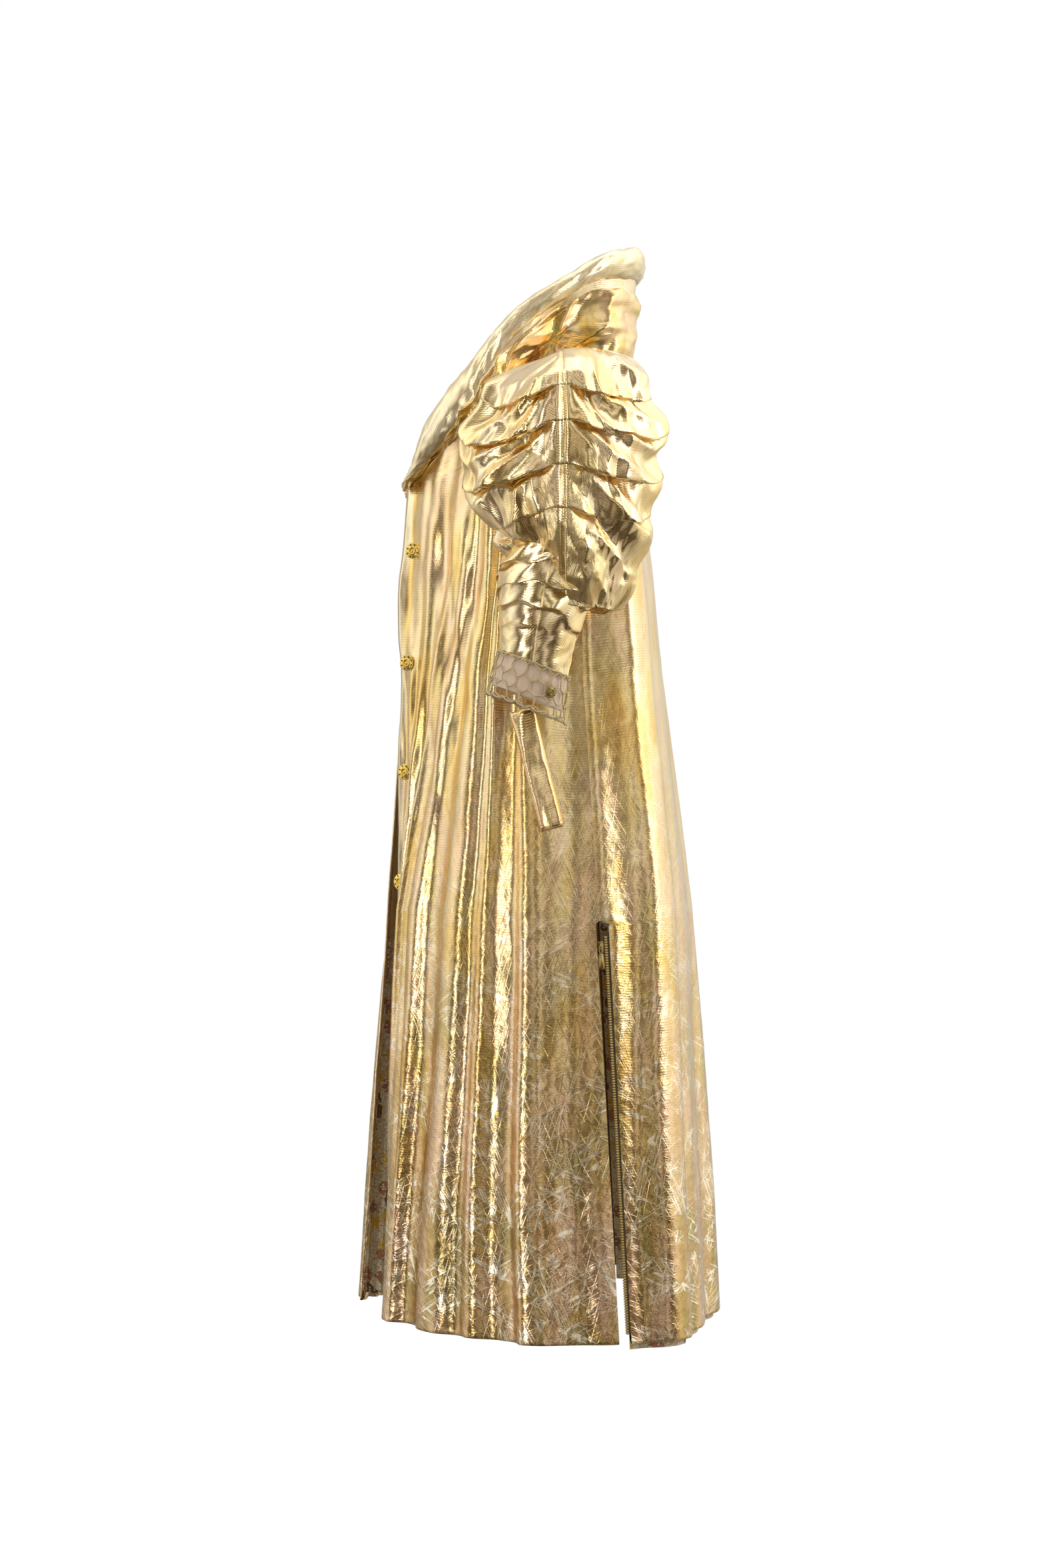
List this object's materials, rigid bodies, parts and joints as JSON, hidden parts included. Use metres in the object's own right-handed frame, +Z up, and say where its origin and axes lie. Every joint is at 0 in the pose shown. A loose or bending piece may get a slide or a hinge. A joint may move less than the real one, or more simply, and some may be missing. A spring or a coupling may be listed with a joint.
{
  "type": "long coat",
  "caption": "Full-length A-line metallic coat with a tall rolled collar, pleated puff sleeves, corded net cuffs, snap fastened front, welt pockets and zipped side slits.",
  "frame": {"origin": "midway between the flat undersides of the two shoulder pads, where the wearer or a hanger carries the coat", "axes": "+X to the wearer's left, +Y to the wearer's back, +Z up"},
  "size_m": [0.714, 0.488, 1.4502],
  "materials": {
    "gold_lame": "mirror-like metallic weave, finely crinkled",
    "brocade": "embroidered with sequins",
    "facing_lame": "pale metallic weave",
    "satin": "satin",
    "net_cord": "metallic chain cord",
    "brass": "polished",
    "antique_brass": "antique, worn",
    "zip_tape": "woven tape with metal teeth",
    "padding": "felted wadding"
  },
  "bodies": {
    "coat": {"left_back_lining": "brocade", "left_back_panel": "gold_lame", "left_collar": "gold_lame", "left_collar_facing": "facing_lame", "left_front_lining": "facing_lame", "left_front_panel": "gold_lame", "left_pocket_bag": "brocade", "left_pocket_welt": "gold_lame", "left_shoulder_pad": "padding", "left_side_lining": "brocade", "left_side_panel": "gold_lame", "left_zip_back": "zip_tape", "left_zip_front": "zip_tape", "right_back_lining": "brocade", "right_back_panel": "gold_lame", "right_collar": "gold_lame", "right_collar_facing": "facing_lame", "right_front_lining": "facing_lame", "right_front_panel": "gold_lame", "right_pocket_bag": "brocade", "right_pocket_welt": "gold_lame", "right_shoulder_pad": "padding", "right_side_lining": "brocade", "right_side_panel": "gold_lame", "right_zip_back": "zip_tape", "right_zip_front": "zip_tape", "snap_socket_1": "brass", "snap_socket_2": "brass", "snap_socket_3": "brass", "snap_socket_4": "brass", "snap_stud_1": "brass", "snap_stud_2": "brass", "snap_stud_3": "brass", "snap_stud_4": "brass"},
    "hanger_loop": {"hanger_loop": "satin"},
    "left_sleeve": {"left_cuff": "satin", "left_cuff_net": "net_cord", "left_cuff_snap": "antique_brass", "left_lower_sleeve": "gold_lame", "left_sleeve_head_back": "gold_lame", "left_sleeve_head_front": "gold_lame"},
    "left_flap": {"left_front_flap_lining": "brocade", "left_front_flap_panel": "gold_lame"},
    "left_pull": {"left_zip_pull": "antique_brass"},
    "left_slider": {"left_zip_slider": "antique_brass"},
    "right_sleeve": {"right_cuff": "satin", "right_cuff_net": "net_cord", "right_cuff_snap": "antique_brass", "right_lower_sleeve": "gold_lame", "right_sleeve_head_back": "gold_lame", "right_sleeve_head_front": "gold_lame"},
    "right_flap": {"right_front_flap_lining": "brocade", "right_front_flap_panel": "gold_lame"},
    "right_pull": {"right_zip_pull": "antique_brass"},
    "right_slider": {"right_zip_slider": "antique_brass"}
  },
  "joints": [
    {"name": "left_sleeve_swing", "type": "hinge", "parent": "coat", "child": "left_sleeve", "pos_m": [0.2, 0, -0.065], "axis": [1, 0, 0], "range_deg": [-18, 15]},
    {"name": "left_flap_hinge", "type": "hinge", "parent": "coat", "child": "left_flap", "pos_m": [0.12251, -0.17452, -0.9255], "axis": [-0.0091, 0.0418, 0.9991], "range_deg": [0, 70]},
    {"name": "left_slider_slide", "type": "slide", "parent": "coat", "child": "left_slider", "axis": [0.096, 0.0525, -0.994], "range_m": [0, 0.475]},
    {"name": "left_pull_swing", "type": "hinge", "parent": "left_slider", "child": "left_pull", "pos_m": [0.23724, 0.08551, -0.69219], "axis": [-0.1966, 0.9799, 0.0339], "range_deg": [-150, 0]},
    {"name": "right_sleeve_swing", "type": "hinge", "parent": "coat", "child": "right_sleeve", "pos_m": [-0.2, 0, -0.065], "axis": [1, 0, 0], "range_deg": [-18, 15]},
    {"name": "right_flap_hinge", "type": "hinge", "parent": "coat", "child": "right_flap", "pos_m": [-0.14002, -0.16751, -0.9255], "axis": [-0.0363, -0.0164, -0.9992], "range_deg": [0, 70]},
    {"name": "right_slider_slide", "type": "slide", "parent": "coat", "child": "right_slider", "axis": [-0.0951, 0.0517, -0.9941], "range_m": [0, 0.475]},
    {"name": "right_pull_swing", "type": "hinge", "parent": "right_slider", "child": "right_pull", "pos_m": [-0.23685, 0.08549, -0.69219], "axis": [-0.1938, -0.9805, -0.0335], "range_deg": [-150, 0]},
    {"name": "hanger_loop_swing", "type": "hinge", "parent": "coat", "child": "hanger_loop", "pos_m": [0, 0.1252, 0.062], "axis": [1, 0, 0], "range_deg": [-150, 0]}
  ]
}
